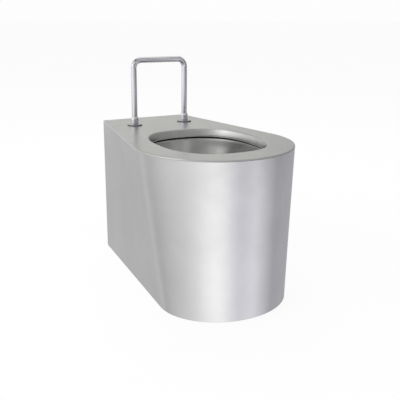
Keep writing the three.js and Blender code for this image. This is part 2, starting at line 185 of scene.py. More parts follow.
def inset_closed(loop, distance):
    """A closed loop moved inwards, with mitred corners."""
    before = loop - np.roll(loop, 1, 0)
    after = np.roll(loop, -1, 0) - loop
    area = np.sum(loop[:, 0] * np.roll(loop[:, 1], -1) - loop[:, 1] * np.roll(loop[:, 0], -1))
    side = 1 if area > 0 else -1
    normals = []
    for edge in (before, after):
        edge = edge / np.linalg.norm(edge, axis=1)[:, None]
        normals.append(np.stack([-edge[:, 1], edge[:, 0]], 1) * side)
    middle = normals[0] + normals[1]
    middle /= np.linalg.norm(middle, axis=1)[:, None]
    stretch = 1 / np.clip(np.sum(middle * normals[0], axis=1), 0.5, 1)
    return loop + middle * (distance * stretch)[:, None]


top_plan = plan(*TOP_PLAN)
floor_plan = plan(*FLOOR_PLAN)


def plan_at(z):
    """The casing's plan at a height, straight from the floor to the deck."""
    return floor_plan + (top_plan - floor_plan) * (z / RIM)


def oval(half_x, half_y, exponent, centre_y):
    """An oval between an ellipse, whose exponent is 2, and a rectangle, whose exponent is large."""
    c, s = np.cos(EVEN_TURN), np.sin(EVEN_TURN)
    x = half_x * np.sign(c) * np.abs(c) ** (2 / exponent)
    y = centre_y + half_y * np.sign(s) * np.abs(s) ** (2 / exponent)
    return np.stack([x, y], 1)


def opening(offset):
    """The edge of the deck's opening, moved outwards."""
    half_x, half_y, exponent = OPENING
    return oval(half_x + offset, half_y + offset, exponent, OPEN_Y)


def lift(curve, z):
    """A plane curve, taken to a height."""
    return np.column_stack([curve, np.full(len(curve), z)])


# ---- Materials -------------------------------------------------------------------------------------------
def add_node(tree, kind, **settings):
    made = tree.nodes.new(kind)
    for key, value in settings.items():
        if key in made.inputs:
            made.inputs[key].default_value = value
        else:
            setattr(made, key, value)
    return made


def noise(tree, vector, scale, stretch=(1, 1, 1), detail=3.0, rough=0.55):
    mapping = add_node(tree, "ShaderNodeMapping")
    mapping.inputs["Scale"].default_value = stretch
    tree.links.new(vector, mapping.inputs["Vector"])
    made = add_node(tree, "ShaderNodeTexNoise", Scale=scale, Detail=detail, Roughness=rough)
    tree.links.new(mapping.outputs[0], made.inputs["Vector"])
    return made.outputs["Fac"]


def spread(tree, value, low, high, start=0.3, end=0.7):
    """The value, taken from start..end to low..high."""
    made = add_node(tree, "ShaderNodeMapRange", clamp=True)
    for key, number in (("From Min", start), ("From Max", end), ("To Min", low), ("To Max", high)):
        made.inputs[key].default_value = number
    tree.links.new(value, made.inputs["Value"])
    return made.outputs["Result"]


def combine(tree, first, second, how="ADD"):
    """Two values added, or joined by another operation. The second may be a plain number."""
    made = add_node(tree, "ShaderNodeMath", operation=how)
    tree.links.new(first, made.inputs[0])
    if isinstance(second, (int, float)):
        made.inputs[1].default_value = second
    else:
        tree.links.new(second, made.inputs[1])
    return made.outputs[0]


def tinted(tree, shader, share, dark, light):
    """The shader's colour goes from dark to light with the share."""
    tint = add_node(tree, "ShaderNodeMix", data_type="RGBA")
    tint.inputs[6].default_value = (*dark, 1)
    tint.inputs[7].default_value = (*light, 1)
    tree.links.new(share, tint.inputs[0])
    tree.links.new(tint.outputs[2], shader.inputs["Base Color"])


def new_material(name):
    material = bpy.data.materials.new(name)
    material.use_nodes = True
    tree = material.node_tree
    return material, tree, tree.nodes["Principled BSDF"]


# Pattern sizes, in repeats per metre of surface.
FINE_LINES, COARSE_LINES = 900, 330
SMEARS, SCRATCHES, WAVES, GRIT, DUST = 31.0, 24.0, 8.0, 900.0, 60.0
# The shares of a steel's tint that its ground lines and its clouds make.
LINE_TINT, CLOUD_TINT = 0.07, 0.55
SCRATCH_WIDTH = 0.012
BUMP_DEPTH = 0.0002
# A quarter turn lays the highlight's long direction across the grain.
QUARTER_TURN = 0.25


def steel(name, dark, light, roughness, swing=0.06, grain=(1, 1, 1), coords="UV", anisotropy=0.0,
          bump=0.003, smudge=0.05, cloud=9.0, scratches=0.0, waviness=0.0):
    """Ground stainless steel. grain is how dense the ground lines are along each axis, so a small number
    draws them out. swing and smudge are how far the lines and the smears change the roughness, cloud is
    the number of tone clouds to the metre, and waviness is the depth in metres of the sheet's slow waves."""
    material, tree, shader = new_material(name)
    shader.inputs["Metallic"].default_value = 1.0
    place = add_node(tree, "ShaderNodeTexCoord").outputs[coords]
    fine = noise(tree, place, 1.0, tuple(FINE_LINES * g for g in grain), 2.0)
    coarse = noise(tree, place, 1.0, tuple(COARSE_LINES * g for g in grain), 3.0)
    clouds = noise(tree, place, cloud, detail=4.0, rough=0.6)
    smears = noise(tree, place, SMEARS, detail=5.0, rough=0.65)
    lines = combine(tree, spread(tree, fine, 0, 0.5), spread(tree, coarse, 0, 0.5))
    line_tint = combine(tree, lines, LINE_TINT, "MULTIPLY")
    tinted(tree, shader, combine(tree, line_tint, spread(tree, clouds, 0, CLOUD_TINT)), dark, light)

    rough = combine(tree, spread(tree, lines, roughness - swing, roughness + swing, 0, 1),
                    spread(tree, smears, -smudge, smudge, 0.35, 0.65))
    if scratches:
        cells = add_node(tree, "ShaderNodeTexVoronoi", Scale=SCRATCHES, feature="DISTANCE_TO_EDGE")
        tree.links.new(place, cells.inputs["Vector"])
        near_edge = spread(tree, cells.outputs["Distance"], scratches, 0, 0, SCRATCH_WIDTH)
        rough = combine(tree, rough, near_edge)
    tree.links.new(rough, shader.inputs["Roughness"])

    shape = add_node(tree, "ShaderNodeBump", Strength=bump, Distance=BUMP_DEPTH)
    tree.links.new(lines, shape.inputs["Height"])
    if waviness:
        waves = add_node(tree, "ShaderNodeBump", Strength=1.0, Distance=waviness)
        tree.links.new(noise(tree, place, WAVES, detail=1.5), waves.inputs["Height"])
        tree.links.new(waves.outputs[0], shape.inputs["Normal"])
    tree.links.new(shape.outputs[0], shader.inputs["Normal"])
    if anisotropy:
        tangent = add_node(tree, "ShaderNodeTangent", direction_type="UV_MAP", uv_map="grain")
        tree.links.new(tangent.outputs[0], shader.inputs["Tangent"])
        shader.inputs["Anisotropic"].default_value = anisotropy
        shader.inputs["Anisotropic Rotation"].default_value = QUARTER_TURN
    return material


def rubber(name):
    """Black moulded rubber with a little pale dust on it."""
    material, tree, shader = new_material(name)
    place = add_node(tree, "ShaderNodeTexCoord").outputs["Object"]
    dust = noise(tree, place, DUST, detail=5.0, rough=0.65)
    grit = noise(tree, place, GRIT)
    dusty = spread(tree, dust, 0, 1, 0.45, 0.75)
    tinted(tree, shader, dusty, (0.012, 0.012, 0.013), (0.045, 0.044, 0.043))
    tree.links.new(spread(tree, dust, 0.62, 0.85), shader.inputs["Roughness"])
    shape = add_node(tree, "ShaderNodeBump", Strength=0.25, Distance=BUMP_DEPTH)
    tree.links.new(grit, shape.inputs["Height"])
    tree.links.new(shape.outputs[0], shader.inputs["Normal"])
    return material


# The sheet's grain runs round the casing and along the deck.
casing_steel = steel("casing_steel", (0.66, 0.66, 0.665), (0.78, 0.78, 0.785), 0.24, grain=(0.012, 1, 1),
                     anisotropy=0.4, cloud=6.0, swing=0.015, smudge=0.02, waviness=0.0003)
deck_steel = steel("deck_steel", (0.63, 0.63, 0.615), (0.72, 0.72, 0.70), 0.31, grain=(1, 0.012, 1),
                   cloud=7.0, swing=0.02, smudge=0.03, waviness=0.0003)
collar_steel = steel("collar_steel", (0.62, 0.62, 0.605), (0.73, 0.73, 0.715), 0.32,
                     grain=(1, 0.012, 1), cloud=9.0)
# The bowl's steel is tinted darker than the casing's: painted shade for the inside of the bowl. Its clouds
# and ground lines are the steel's own tone.
bowl_steel_painted_shade = steel("bowl_steel_painted_shade", (0.58, 0.58, 0.575), (0.68, 0.68, 0.67), 0.22, grain=(1, 0.02, 1),
                   cloud=11.0, swing=0.02, smudge=0.03)
rail_steel = steel("rail_steel", (0.70, 0.70, 0.735), (0.80, 0.80, 0.83), 0.16, grain=(1, 0.02, 1),
                   cloud=14.0, swing=0.01, smudge=0.01)
rose_steel = steel("rose_steel", (0.52, 0.52, 0.535), (0.61, 0.61, 0.62), 0.26, grain=(1, 0.05, 1),
                   cloud=14.0, swing=0.04)
frame_steel = steel("frame_steel", (0.46, 0.46, 0.455), (0.60, 0.60, 0.60), 0.45,
                    grain=(1, 0.05, 1), coords="Object", cloud=16.0, smudge=0.09, scratches=0.08, bump=0.04)
pipe_steel = steel("pipe_steel", (0.48, 0.48, 0.475), (0.61, 0.61, 0.605), 0.4, grain=(0.03, 1, 1),
                   cloud=16.0, smudge=0.08, scratches=0.06, bump=0.03)
weld_steel = steel("weld_steel", (0.40, 0.37, 0.34), (0.58, 0.57, 0.56), 0.42, coords="Object",
                   cloud=120.0, smudge=0.1, bump=0.08)
fixing_steel = steel("fixing_steel", (0.52, 0.53, 0.51), (0.68, 0.68, 0.66), 0.34,
                     coords="Object", grain=(0.5, 0.5, 0.5), cloud=80.0)
black_rubber = rubber("black_rubber")


# ---- Casing, deck and collar -----------------------------------------------------------------------------
def make_skirt():
    edge, end_band = 0.0005, 0.006
    rows = np.linspace(end_band, SKIRT_TOP - end_band, 30)
    heights = np.concatenate([[edge], rows, [SKIRT_TOP - SEAM]])
    outer = [(0.0, z) for z in heights]
    inner = [(SHEET, z) for z in heights[::-3]]
    section = [(edge, 0.0), *outer, (SEAM, SKIRT_TOP), (SHEET, SKIRT_TOP), *inner, (SHEET, 0.0)]
    curves = [lift(inset_open(plan_at(z), depth) if depth else plan_at(z), z) for depth, z in section]
    piece = build("casing", np.stack(curves, 1), caps=True)
    finish_piece(piece, casing_steel, "casing", "casing_skirt")


def make_deck():
    edge, fold, overhang, underside, chamfer = 0.0022, 0.0035, 0.0028, 0.004, 0.0007
    wall = np.linspace(-1, 1, 42)[1:-1, None] * [TOP_PLAN[0], 0] + [0, BACK]
    outer = np.concatenate([top_plan, wall])
    angles = np.arctan2(outer[:, 1] - OPEN_Y, outer[:, 0])
    half_x, half_y, exponent = OPENING

    def inner(offset):
        """The opening's edge, moved outwards, with its points at the outer edge's angles."""
        x, y = half_x + offset, half_y + offset
        c, s = np.cos(angles), np.sin(angles)
        reach = (np.abs(c / x) ** exponent + np.abs(s / y) ** exponent) ** (-1 / exponent)
        return np.stack([reach * c, OPEN_Y + reach * s], 1)

    rings = [lift(inset_closed(outer, SEAM), SKIRT_TOP), lift(outer, SKIRT_TOP + chamfer)]
    for turn in np.linspace(0, math.pi / 2, 8):
        depth = edge * (1 - math.cos(turn))
        rings.append(lift(inset_closed(outer, depth), RIM - edge + edge * math.sin(turn)))
    flat_outer = inset_closed(outer, edge)
    flat_inner = inner(fold - overhang)
    # The flat top, in rings that lie closer near both edges.
    for t in (0.04, 0.12, 0.25, 0.4, 0.55, 0.7, 0.82, 0.92, 0.975, 1.0):
        rings.append(lift(flat_outer * (1 - t) + flat_inner * t, RIM))
    for turn in np.linspace(0, math.pi / 2, 10)[1:]:
        offset = -overhang + fold * (1 - math.sin(turn))
        rings.append(lift(inner(offset), RIM - fold + fold * math.cos(turn)))
    rings.append(lift(inner(-0.0005), RIM - fold - 0.0002))
    rings.append(lift(inner(underside), DECK_LOW))
    rings.append(lift(inset_closed(outer, underside), DECK_LOW))
    piece = build("deck", rings, wrap_i=True, uv=lambda p: p[:, :2])
    finish_piece(piece, deck_steel, "deck", "deck_plate")


def make_collar():
    low, top = COLLAR_LOW.z, RIM - 0.0034
    inset, curl, tail = 0.0023, 0.45, 0.001
    bead_out, bead_down = 0.0012, 0.0006

    def face(z):
        """The inner face's distance from the opening's edge; it leans in, most of all near the top."""
        down = (RIM - z) / (RIM - low)
        return -inset - COLLAR_LEAN * ((1 + curl) * down - curl * down**2)

    section = [(face(z), z) for z in np.linspace(top, low + tail, 10)]
    # The lower edge is a rolled bead.
    middle = (face(low) + bead_out, low - bead_down)
    for turn in np.radians(np.linspace(130, 410, 15)):
        section.append((middle[0] + COLLAR_BEAD * math.cos(turn), middle[1] + COLLAR_BEAD * math.sin(turn)))
    section += [(face(z) + SHEET, z) for z in np.linspace(low + tail, top, 4)]
    grid = [lift(opening(offset), z) for offset, z in section]
    piece = build("rim_collar_folded", grid, wrap_i=True)
    finish_piece(piece, collar_steel, "deck", "rim_collar")


# ---- Bowl, throat and channel ----------------------------------------------------------------------------
# Height, half width, half length, shift to the back, exponent of the bowl's inner surface.
STATIONS = np.array([
    (0.3695, 0.143, 0.1685, 0.000, 2.45),
    (0.350, 0.140, 0.1655, 0.000, 2.45),
    (0.325, 0.135, 0.1595, 0.001, 2.40),
    (0.295, 0.127, 0.149, 0.004, 2.35),
    (0.260, 0.115, 0.132, 0.009, 2.30),
    (0.220, 0.096, 0.108, 0.015, 2.20),
    (0.190, 0.076, 0.084, 0.022, 2.10),
    (0.160, 0.056, 0.059, 0.029, 2.00),
    (0.140, 0.046, 0.047, THROAT_SHIFT, 2.00),
    (0.120, 0.043, 0.043, THROAT_SHIFT, 2.00),
])


def station(z):
    """The bowl's section at a height, by a smooth cubic between the stations."""
    heights = STATIONS[::-1, 0]
    values = STATIONS[::-1, 1:]
    slopes = np.gradient(values, heights, axis=0)
    k = int(np.clip(np.searchsorted(heights, z) - 1, 0, len(heights) - 2))
    span = heights[k + 1] - heights[k]
    t = (z - heights[k]) / span
    return (
        (2 * t**3 - 3 * t**2 + 1) * values[k]
        + (t**3 - 2 * t**2 + t) * span * slopes[k]
        + (3 * t**2 - 2 * t**3) * values[k + 1]
        + (t**3 - t**2) * span * slopes[k + 1]
    )


def bowl_ring(z, outwards=0.0):
    half_x, half_y, shift, exponent = station(z)
    return lift(oval(half_x + outwards, half_y + outwards, exponent, OPEN_Y + shift), z)


def make_bowl():
    # The lip's crest is a round fold; outside it the sheet drops to the channel's floor.
    fold = 0.003
    crest = [(fold + fold * (1 - math.cos(a)), LIP_Z - fold + fold * math.sin(a))
             for a in np.linspace(0, math.pi, 13)]
    floor_bend = [(0.009, FLANGE_Z + 0.0015), (0.0095, FLANGE_Z + 0.0005), (0.0105, FLANGE_Z)]
    upper = [*crest, *floor_bend, (0.025, FLANGE_Z), (FLANGE_OFFSET, FLANGE_Z)]
    lower = [(FLANGE_OFFSET, FLANGE_Z - SHEET), (0.007, FLANGE_Z - SHEET), (0.007, LIP_Z - 0.004)]
    lower += [(0.0063, LIP_Z - 0.0027), (0.0055, LIP_Z - 0.0027), (0.005, LIP_Z - 0.004)]
    heights = np.linspace(JOIN_Z, LIP_Z - 0.0045, 40)
    inner = [bowl_ring(z) for z in heights]
    outer = [bowl_ring(z, SHEET) for z in heights[::-2]] + [bowl_ring(JOIN_Z, SHEET)]
    gutter = [lift(opening(offset), z) for offset, z in upper + lower]
    piece = build("bowl_pressed", inner + gutter + outer, wrap_i=True)
    finish_piece(piece, bowl_steel_painted_shade, "bowl", "bowl")


def make_throat():
    low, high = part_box("bowl_throat")
    heights = np.linspace(high.z, low.z, 26)
    inner = [bowl_ring(z) for z in heights]
    outer = [bowl_ring(z, SHEET) for z in heights[::-1]]
    piece = build("bowl_throat_spun", inner + outer, wrap_i=True)
    finish_piece(piece, bowl_steel_painted_shade, "bowl", "bowl_throat")


def make_channel_wall():
    low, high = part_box("channel_wall")
    section = [(CHANNEL_OFFSET - SHEET, low.z), (CHANNEL_OFFSET - SHEET, high.z),
               (CHANNEL_OFFSET, high.z), (CHANNEL_OFFSET, low.z)]
    piece = build("channel_ring", [lift(opening(offset), z) for offset, z in section], wrap_i=True)
    finish_piece(piece, bowl_steel_painted_shade, "bowl", "channel_wall")


# ---- Pipes -----------------------------------------------------------------------------------------------
PIPE_SIDES = 56
TRAP_RADIUS, TRAP_WALL, TRAP_BEND, TRAP_BEND_STEPS = 0.045, 0.002, 0.062, 32
WEIR_Z, OUTLET_Z = 0.212, 0.180
FLUSH_RADIUS, FLUSH_WALL = 0.019, 0.0015


def arc(centre, radius, start, end, steps):
    turn = np.radians(np.linspace(start, end, steps + 1))
    return np.stack([centre[0] + radius * np.cos(turn), centre[1] + radius * np.sin(turn)], 1)


def swept(points, normal, radius, sides, to_space):
    """Rings of a tube along a plane path, which to_space lays in space. normal stands on its plane."""
    points = np.asarray(points, float)
    ahead = np.gradient(points, axis=0)
    ahead /= np.linalg.norm(ahead, axis=1)[:, None]
    normal = np.asarray(normal, float)
    turn = np.linspace(0, 2 * math.pi, sides, endpoint=False)
    rings = []
    for point, direction in zip(points, ahead):
        forward = to_space(*direction) - to_space(0, 0)
        across = np.cross(forward, normal)
        offset = np.outer(np.cos(turn), normal) + np.outer(np.sin(turn), across)
        rings.append(to_space(*point) + radius * offset)
    return rings


def pipe(name, points, radius, wall, node):
    """A thin pipe in the plane x = 0, given by points of y and z."""
    def to_space(u, v):
        return np.array([0.0, u, v])

    outside = swept(points, (1, 0, 0), radius, PIPE_SIDES, to_space)
    inside = swept(points, (1, 0, 0), radius - wall, PIPE_SIDES, to_space)
    piece = build(name, outside + inside[::-1], wrap_i=True)
    finish_piece(piece, pipe_steel, "frame", node)


def weld(name, point, ahead, radius):
    """The bead that joins two pipes end to end: a low ring with the ripple of a hand weld."""
    ripples, sides, steps = 64, 8, 448
    height, sunk, width = 0.0011, 0.0004, 1.9
    turn = np.linspace(0, 2 * math.pi, steps, endpoint=False)
    swell = height + 0.00012 * np.sin(ripples * turn) + 0.0001 * np.sin(5 * turn)
    forward = np.array([0.0, *ahead])
    across = np.cross(forward, (1.0, 0, 0))
    rings = []
    for a in np.linspace(0, 2 * math.pi, sides, endpoint=False):
        reach = (radius - sunk + swell * math.cos(a))[:, None]
        shift = (width * swell * math.sin(a))[:, None]
        around = np.cos(turn)[:, None] * [1.0, 0, 0] + np.sin(turn)[:, None] * across
        rings.append(np.array([0.0, *point]) + reach * around + shift * forward)
    finish_piece(build(name, rings, wrap_i=True, sharp=80), weld_steel, "frame")


def bezier(knots, steps):
    """A cubic curve from the first knot to the last, pulled by the two between."""
    t = np.linspace(0, 1, steps)[:, None]
    weights = [(1 - t) ** 3, 3 * t * (1 - t) ** 2, 3 * t**2 * (1 - t), t**3]
    return sum(weight * np.array(knot) for weight, knot in zip(weights, knots))


def make_trap():
    """Three bends and the outlet pipe, with a weld at each joint."""
    bend, steps = TRAP_BEND, TRAP_BEND_STEPS
    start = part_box("trap_inlet_bend")[1].z
    inlet = OPEN_Y + THROAT_SHIFT
    riser = inlet + 2 * bend + GAP
    weir_y = riser + bend
    level = weir_y + 0.100

    def trap_pipe(name, points, node):
        pipe(name, points, TRAP_RADIUS, TRAP_WALL, node)

    trap_pipe("trap_bend_inlet", arc((inlet + bend, start), bend, 180, 270, steps), "trap_inlet_bend")
    trap_pipe("trap_bend_rising", arc((riser - bend, start), bend, 270, 360, steps), "trap_rising_bend")
    straight = np.stack([np.full(6, riser), np.linspace(start + GAP, WEIR_Z - bend, 6)], 1)
    upper = np.concatenate([straight[:-1], arc((weir_y, WEIR_Z - bend), bend, 180, 90, steps)])
    trap_pipe("trap_bend_upper", upper, "trap_upper_bend")
    pull = 0.05
    sway = bezier([(weir_y + GAP, WEIR_Z), (weir_y + pull, WEIR_Z), (level - pull, OUTLET_Z),
                   (level, OUTLET_Z)], 25)
    run = np.stack([np.linspace(level, BACK - 0.004, 12), np.full(12, OUTLET_Z)], 1)
    trap_pipe("outlet_spigot", np.concatenate([sway[:-1], run]), "outlet_pipe")
    weld("weld_trap_inlet", (inlet, start), (0, 1), TRAP_RADIUS)
    weld("weld_trap_lowest", (inlet + bend, start - bend), (1, 0), TRAP_RADIUS)
    weld("weld_trap_riser", (riser, start), (0, 1), TRAP_RADIUS)
    weld("weld_trap_weir", (weir_y, WEIR_Z), (1, 0), TRAP_RADIUS)


def make_flush_pipe():
    low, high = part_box("flush_inlet_pipe")
    z = (low.z + high.z) / 2
    run = np.stack([np.linspace(low.y, high.y, 20), np.full(20, z)], 1)
    pipe("flush_spigot", run, FLUSH_RADIUS, FLUSH_WALL, "flush_inlet_pipe")


# ---- Turned pieces ---------------------------------------------------------------------------------------
def turned(name, profile, centre, axis="Z", sides=56):
    """A piece turned about an axis through centre, from a closed profile of radius and height."""
    turn = np.linspace(0, 2 * math.pi, sides, endpoint=False)
    rings = []
    for radius, height in profile:
        a, b = radius * np.cos(turn), radius * np.sin(turn)
        h = np.full(sides, height)
        rings.append(np.stack([a, b, h] if axis == "Z" else [a, h, b], 1))
    grid = np.stack(rings) + np.array(centre, float)
    return build(name, grid, wrap_i=True)


def rounded(points, radii, steps=5):
    """A closed profile with the corners that have a radius rounded off."""
    points = [np.array(p, float) for p in points]
    count = len(points)
    out = []
    for k, (point, r) in enumerate(zip(points, radii)):
        if not r:
            out.append(tuple(point))
            continue
        before, after = points[k - 1], points[(k + 1) % count]
        start = point + (before - point) / np.linalg.norm(before - point) * r
        end = point + (after - point) / np.linalg.norm(after - point) * r
        for t in np.linspace(0, 1, steps):
            out.append(tuple((1 - t) ** 2 * start + 2 * t * (1 - t) * point + t**2 * end))
    return out


def ring_profile(bore, radius, height):
    """The section of a flat ring: its lower edge outwards, then its upper edge inwards."""
    return [(bore, 0), (radius, 0), (radius, height), (bore, height)]


def round_size(node):
    """The radius, height and lowest z of a round upright node."""
    low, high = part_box(node)
    return (high.x - low.x) / 2, high.z - low.z, low.z


# ---- Rail ------------------------------------------------------------------------------------------------
def make_rail():
    low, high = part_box("rail_hoop")
    r = (high.y - low.y) / 2
    y = (low.y + high.y) / 2
    half = (high.x - low.x) / 2 - r
    top, bend = high.z - r, 0.022
    leg_steps, bend_steps, bar_steps, sides = 24, 14, 20, 48
    left = np.stack([np.full(leg_steps, -half), np.linspace(low.z, top - bend, leg_steps)], 1)
    bar = np.stack([np.linspace(-half + bend, half - bend, bar_steps), np.full(bar_steps, top)], 1)
    path = np.concatenate([
        left[:-1],
        arc((-half + bend, top - bend), bend, 180, 90, bend_steps),
        bar[1:-1],
        arc((half - bend, top - bend), bend, 90, 0, bend_steps),
        left[::-1][1:] * [-1, 1],
    ])

    def to_space(u, v):
        return np.array([u, y, v])

    piece = build("rail_tube", swept(path, (0, 1, 0), r, sides, to_space), caps=True)
    finish_piece(piece, rail_steel, "rail", "rail_hoop")
    slip_fit = 0.0001
    for side, x in zip(SIDES, (-half, half)):
        make_rail_foot(side, x, y, r + slip_fit)


def make_rail_foot(side, x, y, bore):
    """The socket, rose and gasket under one leg of the rail."""
    radius, height, low = round_size(f"rail_socket_{side}")
    cup = [(bore, 0), (radius, 0), (radius, height - 0.004), (radius - 0.0016, height), (bore, height)]
    piece = turned(f"rail_socket_turned_{side}", rounded(cup, [0, 0.0008, 0.0016, 0.0006, 0]), (x, y, low))
    finish_piece(piece, rail_steel, "rail", f"rail_socket_{side}")
    radius, height, low = round_size(f"rail_rose_{side}")
    disc = rounded(ring_profile(0.002, radius, height), [0, 0.0003, 0.0011, 0])
    piece = turned(f"rail_rose_turned_{side}", disc, (x, y, low))
    finish_piece(piece, rose_steel, "rail", f"rail_rose_{side}")
    radius, height, low = round_size(f"rail_gasket_{side}")
    # It rests on the deck and nearly meets the rose, where the CAD leaves a gap above and below it.
    ring = rounded(ring_profile(0.0055, radius, height + 0.0005), [0, 0.0003, 0.0003, 0])
    piece = turned(f"rail_gasket_moulded_{side}", ring, (x, y, RIM))
    finish_piece(piece, black_rubber, "rubber", f"rail_gasket_{side}")


# ---- Fixings and seals -----------------------------------------------------------------------------------
def hexagon_reach(width, turn):
    """How far a hexagon of that width across its flats reaches at each angle."""
    return width / 2 / np.cos((turn + math.pi / 6) % (math.pi / 3) - math.pi / 6)


def hexagon_piece(name, width, bore, height, centre, dome=0.0):
    """A nut, or with no bore a bolt's head, chamfered as a turned hexagon is."""
    sides, chamfer, pin_hole = 96, math.radians(30), 0.0002
    rim_share, crown_share = 0.97, 0.25
    turn = np.linspace(0, 2 * math.pi, sides, endpoint=False)
    reach = hexagon_reach(width, turn + math.pi / 6)
    rim = width / 2 * rim_share
    drop = (reach - rim) * math.tan(chamfer)
    bore = bore or pin_hole
    crown = bore + (width / 2 - bore) * crown_share
    rings = [
        (np.full(sides, bore), np.zeros(sides)),
        (np.full(sides, rim), np.zeros(sides)),
        (reach, np.zeros(sides) if dome else drop),
        (reach, height - drop),
        (np.full(sides, rim), np.full(sides, height)),
        (np.full(sides, crown), np.full(sides, height + dome)),
        (np.full(sides, bore), np.full(sides, height + dome)),
    ]
    grid = [np.stack([a * np.cos(turn), a * np.sin(turn), h], 1) for a, h in rings]
    return build(name, np.stack(grid) + np.array(centre), wrap_i=True, sharp=25)


def threaded(name, radius, pitch, length, centre):
    """A threaded bar with a real helix and tapered ends."""
    sides, per_turn, depth, end_taper = 32, 6, 0.54, 0.25
    turn = np.linspace(0, 2 * math.pi, sides, endpoint=False)
    heights = np.arange(0, length + 1e-9, pitch / per_turn)
    on_axis = np.zeros(sides)
    rings = [np.stack([on_axis, on_axis, on_axis], 1)]
    for z in heights:
        phase = (z / pitch - turn / (2 * math.pi)) % 1.0
        taper = min(1.0, 1 - end_taper + end_taper * min(z, length - z) / pitch)
        reach = (radius - depth * pitch * np.abs(2 * phase - 1)) * taper
        rings.append(np.stack([reach * np.cos(turn), reach * np.sin(turn), np.full(sides, z)], 1))
    rings.append(np.stack([on_axis, on_axis, np.full(sides, heights[-1])], 1))
    return build(name, np.stack(rings) + np.array(centre), sharp=60)


def seat_of(node):
    """The middle of a node's underside, and the node's height."""
    low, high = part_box(node)
    middle = (low + high) / 2
    return (middle.x, middle.y, low.z), high.z - low.z


def make_nut(name, node, width, bore):
    seat, height = seat_of(node)
    finish_piece(hexagon_piece(name, width, bore, height, seat), fixing_steel, "fixings", node)


def make_stud(name, node, radius, pitch):
    seat, height = seat_of(node)
    finish_piece(threaded(name, radius, pitch, height, seat), fixing_steel, "fixings", node)


def make_washer(name, node, bore, radius):
    seat, height = seat_of(node)
    piece = turned(name, rounded(ring_profile(bore, radius, height), [0.0003] * 4, 3), seat)
    finish_piece(piece, fixing_steel, "fixings", node)


def make_floor_screw_head(place, side):
    """The screw's head, standing on its washer. Its shank is out of sight in the foot frame's hole and is
    left out."""
    node = f"floor_screw_{place}_{side}"
    (x, y, _), _ = seat_of(node)
    head_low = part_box(f"floor_washer_{place}_{side}")[1].z + GAP
    width, dome, slack = 0.013, 0.0003, 0.0004
    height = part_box(node)[1].z - head_low - slack
    name = f"floor_screw_head_{place}_{side}"
    piece = hexagon_piece(name, width, 0, height, (x, y, head_low), dome=dome)
    finish_piece(piece, fixing_steel, "fixings", node)


def make_fixings():
    for side in SIDES:
        make_nut(f"rail_nut_turned_{side}", f"rail_nut_{side}", width=0.017, bore=0.005)
        make_stud(f"rail_stud_threaded_{side}", f"rail_stud_{side}", radius=0.005, pitch=0.0015)
        make_washer(f"rail_washer_pressed_{side}", f"rail_washer_{side}", bore=0.0053, radius=0.0105)
        for place in ("rear", "front"):
            node = f"floor_washer_{place}_{side}"
            make_washer(f"floor_washer_pressed_{place}_{side}", node, bore=0.0045, radius=0.009)
            make_floor_screw_head(place, side)
    lips, corners = lipped_profile()
    make_seal("outlet_seal_lipped", "outlet_seal", lips, corners, sides=72)
    collar, corners = ring_profile(bore=0.013, radius=0.0174, height=0.024), [0.001, 0.0006, 0.0006, 0.001]
    make_seal("flush_seal_moulded", "flush_inlet_seal", collar, corners, sides=64)
    make_nut("earth_nut_turned", "earth_nut", width=0.010, bore=0.003)
    make_stud("earth_stud_threaded", "earth_stud", radius=0.003, pitch=0.001)


def lipped_profile():
    """The outlet seal's section, three lips high, and the radii of its corners."""
    bore, edge, valley, crest, pitch = 0.0450, 0.049, 0.0475, 0.050, 0.003
    points = [(bore, 0), (edge, 0)]
    points += [(crest if k % 2 else valley, k * pitch) for k in range(1, 6)]
    points += [(edge, 6 * pitch), (bore, 6 * pitch)]
    return points, [0, 0.0008, *[0.001] * 5, 0.0008, 0]


def make_seal(name, node, points, radii, sides):
    low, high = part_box(node)
    middle_z = (low.z + high.z) / 2
    piece = turned(name, rounded(points, radii, 4), (0, low.y, middle_z), axis="Y", sides=sides)
    finish_piece(piece, black_rubber, "rubber", node)


def dress_cad_nodes():
    """Flat plates keep their CAD shape, with broken edges and the steel they are made of."""
    kept = {
        "back_frame": frame_steel,
        "foot_frame": frame_steel,
        "foot_rear_bar": frame_steel,
        "saddle_crossbar": frame_steel,
        "trap_saddle": frame_steel,
        "rail_backing_plate": frame_steel,
        "flush_deflector": frame_steel,
        "earth_tag": fixing_steel,
        "rail_grub_screw_left": fixing_steel,
        "rail_grub_screw_right": fixing_steel,
    }
    for name, material in kept.items():
        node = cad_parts[name]
        node.data.materials.clear()
        node.data.materials.append(material)
        bevel = node.modifiers.new("broken_edges", "BEVEL")
        bevel.width = 0.0002 if "screw" in name else 0.0004
        bevel.segments = 2
        bevel.limit_method = "ANGLE"
        bevel.angle_limit = math.radians(50)
        bevel.harden_normals = True


# ---- Camera ----------------------------------------------------------------------------------------------
YAW, PITCH, ROLL = 0.5027, 0.2935, 0.0093
LENS_MM, SENSOR_MM = 56.51, 36.0
CAMERA_PLACE = (-0.78102, BACK - 1.7853, 0.71919)


def make_camera():
    data = bpy.data.cameras.new("camera")
    data.sensor_width = SENSOR_MM
    data.lens = LENS_MM
    data.clip_start, data.clip_end = 0.01, 200
    camera = bpy.data.objects.new("camera", data)
    bpy.context.scene.collection.objects.link(camera)
    bpy.context.scene.camera = camera
    ahead = Vector((math.sin(YAW) * math.cos(PITCH), math.cos(YAW) * math.cos(PITCH), -math.sin(PITCH)))
    right = Vector((math.cos(YAW), -math.sin(YAW), 0))
    up = right.cross(ahead)
    tilted_right = right * math.cos(ROLL) + up * math.sin(ROLL)
    tilted_up = up * math.cos(ROLL) - right * math.sin(ROLL)
    turned_to = Matrix((tilted_right, tilted_up, -ahead)).transposed().to_4x4()
    camera.matrix_world = Matrix.Translation(CAMERA_PLACE) @ turned_to


